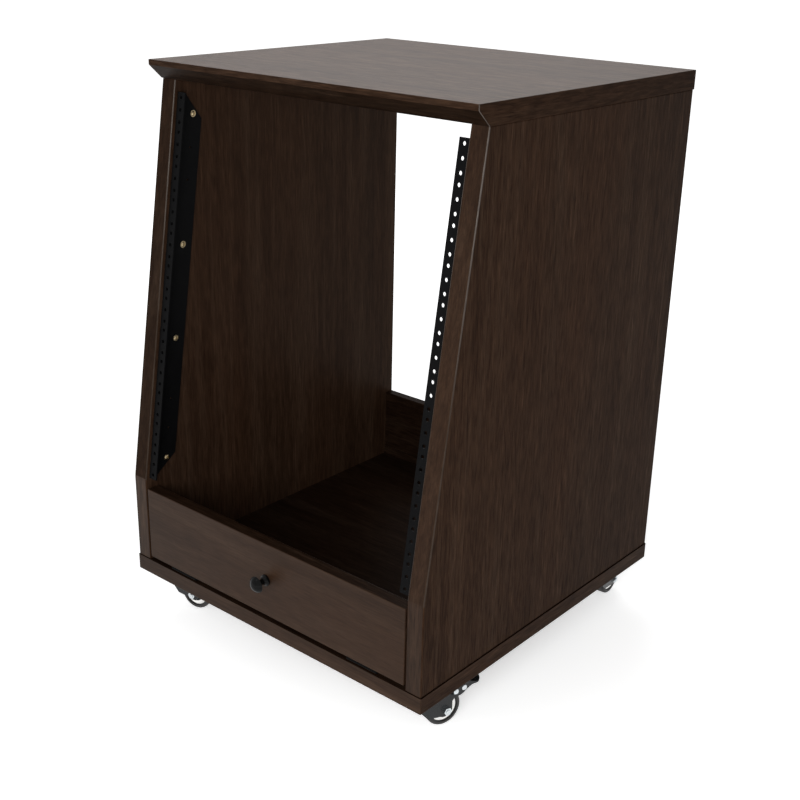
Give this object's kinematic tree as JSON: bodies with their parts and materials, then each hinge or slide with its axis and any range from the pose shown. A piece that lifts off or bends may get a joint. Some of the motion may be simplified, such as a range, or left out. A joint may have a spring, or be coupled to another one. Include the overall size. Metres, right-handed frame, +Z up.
{
  "type": "studio rack stand",
  "caption": "Slant-fronted studio rack cabinet in dark wood laminate with punched black rails, an open back, a low drop-down front flap with knob, and swivel casters.",
  "frame": {"origin": "on the floor under the middle of the whole stand's bounding box, knob included", "axes": "+X to the right seen from the front, the front faces -Y, +Z up"},
  "size_m": [0.5356, 0.558, 0.784],
  "materials": {
    "laminate": "satin dark espresso wood-grain laminate on board",
    "beech": "plain beech",
    "black_steel": "black powder coat, fine texture",
    "brass_plate": "dull brass plate",
    "black_gloss": "gloss black",
    "black_plastic": "matt black",
    "wheel_plastic": "satin black",
    "tyre": "matt black rubber",
    "bright_chrome": "bright chrome",
    "zinc_steel": "bright zinc plate"
  },
  "bodies": {
    "cabinet": {"back_dowels": "beech", "back_foot_strip": "laminate", "back_panel": "laminate", "base_panel": "laminate", "carcass_screws": "zinc_steel", "caster_front_left_kingpin": "zinc_steel", "caster_front_left_plate": "zinc_steel", "caster_front_right_kingpin": "zinc_steel", "caster_front_right_plate": "zinc_steel", "caster_rear_left_kingpin": "zinc_steel", "caster_rear_left_plate": "zinc_steel", "caster_rear_right_kingpin": "zinc_steel", "caster_rear_right_plate": "zinc_steel", "caster_screws": "zinc_steel", "catch_left": "black_plastic", "catch_right": "black_plastic", "catch_screws": "zinc_steel", "hinge_leaf_fixed_left": "black_steel", "hinge_leaf_fixed_right": "black_steel", "hinge_pins": "black_steel", "hinge_screws_base": "black_steel", "rack_rail_left": "black_steel", "rack_rail_right": "black_steel", "rail_screws_left": "brass_plate", "rail_screws_right": "brass_plate", "side_panel_left": "laminate", "side_panel_right": "laminate", "top_dowels": "beech", "top_panel": "laminate"},
    "flap": {"front_flap": "laminate", "knob": "black_gloss", "knob_screw": "zinc_steel", "hinge_leaf_moving_left": "black_steel", "hinge_leaf_moving_right": "black_steel", "hinge_screws_flap": "black_steel", "strike_plates": "zinc_steel"},
    "swivel_front_right": {"caster_front_right_fork": "black_steel", "caster_front_right_axle": "bright_chrome", "caster_front_right_brake_pivot": "bright_chrome"},
    "wheel_front_right": {"caster_front_right_wheel": "wheel_plastic", "caster_front_right_rings": "bright_chrome", "caster_front_right_tyre": "tyre"},
    "brake_front_right": {"caster_front_right_brake": "black_steel"},
    "swivel_front_left": {"caster_front_left_fork": "black_steel", "caster_front_left_axle": "bright_chrome", "caster_front_left_brake_pivot": "bright_chrome"},
    "wheel_front_left": {"caster_front_left_wheel": "wheel_plastic", "caster_front_left_rings": "bright_chrome", "caster_front_left_tyre": "tyre"},
    "brake_front_left": {"caster_front_left_brake": "black_steel"},
    "swivel_rear_right": {"caster_rear_right_fork": "black_steel", "caster_rear_right_axle": "bright_chrome"},
    "wheel_rear_right": {"caster_rear_right_wheel": "wheel_plastic", "caster_rear_right_rings": "bright_chrome", "caster_rear_right_tyre": "tyre"},
    "swivel_rear_left": {"caster_rear_left_fork": "black_steel", "caster_rear_left_axle": "bright_chrome"},
    "wheel_rear_left": {"caster_rear_left_wheel": "wheel_plastic", "caster_rear_left_rings": "bright_chrome", "caster_rear_left_tyre": "tyre"}
  },
  "joints": [
    {"name": "flap_hinge", "type": "hinge", "parent": "cabinet", "child": "flap", "pos_m": [0, -0.2527, 0.0905], "axis": [1, 0, 0], "range_deg": [0, 90]},
    {"name": "swivel_front_right", "type": "hinge", "parent": "cabinet", "child": "swivel_front_right", "pos_m": [0.2298, -0.202, 0.0568], "axis": [0, 0, 1], "continuous": true},
    {"name": "spin_front_right", "type": "hinge", "parent": "swivel_front_right", "child": "wheel_front_right", "pos_m": [0.23752, -0.17822, 0.025], "axis": [-0.9511, 0.309, 0], "continuous": true},
    {"name": "brake_front_right", "type": "hinge", "parent": "swivel_front_right", "child": "brake_front_right", "pos_m": [0.24148, -0.16605, 0.0496], "axis": [-0.9511, 0.309, 0], "range_deg": [0, 8.5]},
    {"name": "swivel_front_left", "type": "hinge", "parent": "cabinet", "child": "swivel_front_left", "pos_m": [-0.2298, -0.202, 0.0568], "axis": [0, 0, 1], "continuous": true},
    {"name": "spin_front_left", "type": "hinge", "parent": "swivel_front_left", "child": "wheel_front_left", "pos_m": [-0.20518, -0.19766, 0.025], "axis": [-0.1736, 0.9848, 0], "continuous": true},
    {"name": "brake_front_left", "type": "hinge", "parent": "swivel_front_left", "child": "brake_front_left", "pos_m": [-0.19257, -0.19544, 0.0496], "axis": [-0.1736, 0.9848, 0], "range_deg": [0, 8.5]},
    {"name": "swivel_rear_right", "type": "hinge", "parent": "cabinet", "child": "swivel_rear_right", "pos_m": [0.2218, 0.225, 0.0568], "axis": [0, 0, 1], "continuous": true},
    {"name": "spin_rear_right", "type": "hinge", "parent": "swivel_rear_right", "child": "wheel_rear_right", "pos_m": [0.21962, 0.2499, 0.025], "axis": [-0.9962, -0.0872, 0], "continuous": true},
    {"name": "swivel_rear_left", "type": "hinge", "parent": "cabinet", "child": "swivel_rear_left", "pos_m": [-0.2218, 0.225, 0.0568], "axis": [0, 0, 1], "continuous": true},
    {"name": "spin_rear_left", "type": "hinge", "parent": "swivel_rear_left", "child": "wheel_rear_left", "pos_m": [-0.21006, 0.24707, 0.025], "axis": [-0.8829, 0.4695, 0], "continuous": true}
  ]
}
